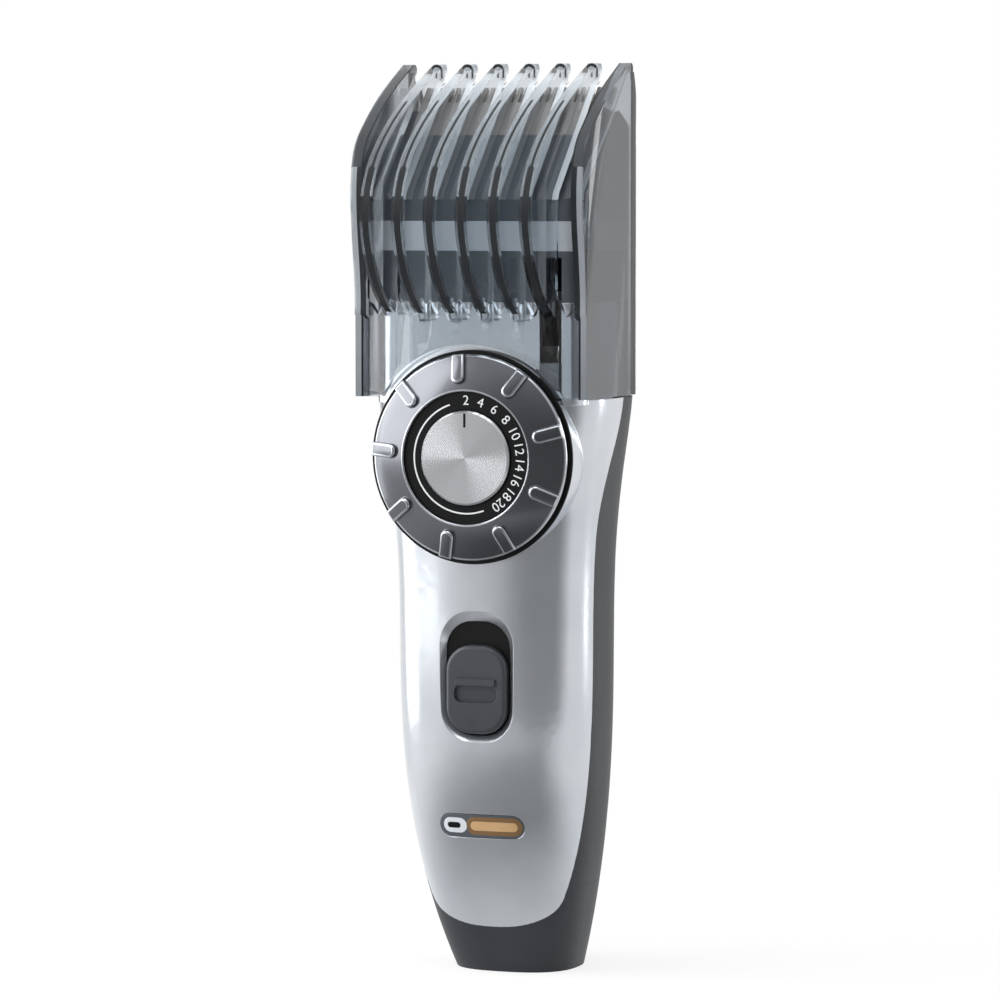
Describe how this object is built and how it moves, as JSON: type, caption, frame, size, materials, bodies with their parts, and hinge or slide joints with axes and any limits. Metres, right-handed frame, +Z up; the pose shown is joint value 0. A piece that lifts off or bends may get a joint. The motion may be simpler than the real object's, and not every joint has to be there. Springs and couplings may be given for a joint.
{
  "type": "hair clipper",
  "caption": "Cordless hair clipper standing on its foot: silver handle, length dial that lifts a clear guide comb by rack and pinion, slide switch and toothed blades.",
  "frame": {"origin": "centre of the charging inlet in the flat foot", "axes": "+Z up the handle to the comb, -Y towards the dial side, +X to the right seen from the dial side"},
  "size_m": [0.046, 0.0497, 0.1714],
  "materials": {
    "silver_shell": "satin metallic paint on moulded plastic",
    "dark_shell": "fine moulded texture",
    "dial_dark": "glossy dark metallic",
    "number_black": "matte black with printed numbers",
    "cap_aluminium": "spun",
    "comb_smoke": "clear smoke-grey moulding",
    "head_dark": "moulded",
    "head_light": "moulded",
    "blade_steel": "ground",
    "switch_black": "moulded",
    "knob_grey": "moulded",
    "lens_amber": "tinted window",
    "inner_plastic": "moulded",
    "screw_steel": "plated",
    "spring_steel": "rolled",
    "seal_rubber": "soft",
    "board_green": "solder mask",
    "cell_case": "film-wrapped can",
    "motor_steel": "drawn can",
    "motor_iron": "laminated",
    "contact_brass": "plated"
  },
  "bodies": {
    "handle": {"front_shell": "silver_shell", "rear_shell": "dark_shell", "base_cap": "dark_shell", "shell_seal": "seal_rubber", "shell_screws": "screw_steel", "charging_socket": "switch_black", "socket_pins": "contact_brass", "head_frame": "head_dark", "blade_base": "head_light", "blade_holder": "head_dark", "fixed_blade": "blade_steel", "blade_spring": "spring_steel", "dial_cap": "cap_aluminium", "dial_screw": "screw_steel", "mechanism_plate": "inner_plastic", "plate_screws": "screw_steel", "detent_spring": "spring_steel", "switch_plate": "switch_black", "slide_switch": "switch_black", "circuit_board": "board_green", "status_led": "lens_amber", "indicator_lens": "lens_amber", "battery_cell": "cell_case", "battery_contacts": "contact_brass", "motor_can": "motor_steel", "motor_screws": "screw_steel", "motor_magnets": "motor_iron", "motor_end_cap": "inner_plastic", "motor_cradle": "inner_plastic"},
    "dial": {"dial_ring": "dial_dark", "number_ring": "number_black", "dial_hub": "inner_plastic", "dial_seal": "seal_rubber"},
    "carriage": {"comb_carriage": "head_dark"},
    "comb": {"guide_comb": "comb_smoke"},
    "switch": {"switch_knob": "knob_grey", "switch_slider": "inner_plastic"},
    "rotor": {"motor_shaft": "screw_steel", "motor_rotor": "motor_iron", "eccentric_cam": "inner_plastic"},
    "cutter": {"moving_blade": "blade_steel", "blade_carrier": "inner_plastic"}
  },
  "joints": [
    {"name": "dial_turn", "type": "hinge", "parent": "handle", "child": "dial", "pos_m": [0, -0.0255, 0.0983], "axis": [0, -1, 0], "range_deg": [0, 151]},
    {"name": "comb_lift", "type": "slide", "parent": "handle", "child": "carriage", "axis": [0, 0, 1], "range_m": [0, 0.019]},
    {"name": "comb_release", "type": "slide", "parent": "carriage", "child": "comb", "axis": [0, 0, 1], "range_m": [0, 0.065]},
    {"name": "switch_slide", "type": "slide", "parent": "handle", "child": "switch", "axis": [0, 0, 1], "range_m": [0, 0.004]},
    {"name": "blade_stroke", "type": "slide", "parent": "handle", "child": "cutter", "axis": [1, 0, 0], "range_m": [-0.001, 0.001]},
    {"name": "motor_spin", "type": "hinge", "parent": "handle", "child": "rotor", "pos_m": [0, -0.004, 0.115], "axis": [0, 0, 1], "continuous": true}
  ],
  "couplings": [
    {"joint": "comb_lift", "follows": "dial_turn", "m_per_rad": 0.0072}
  ]
}
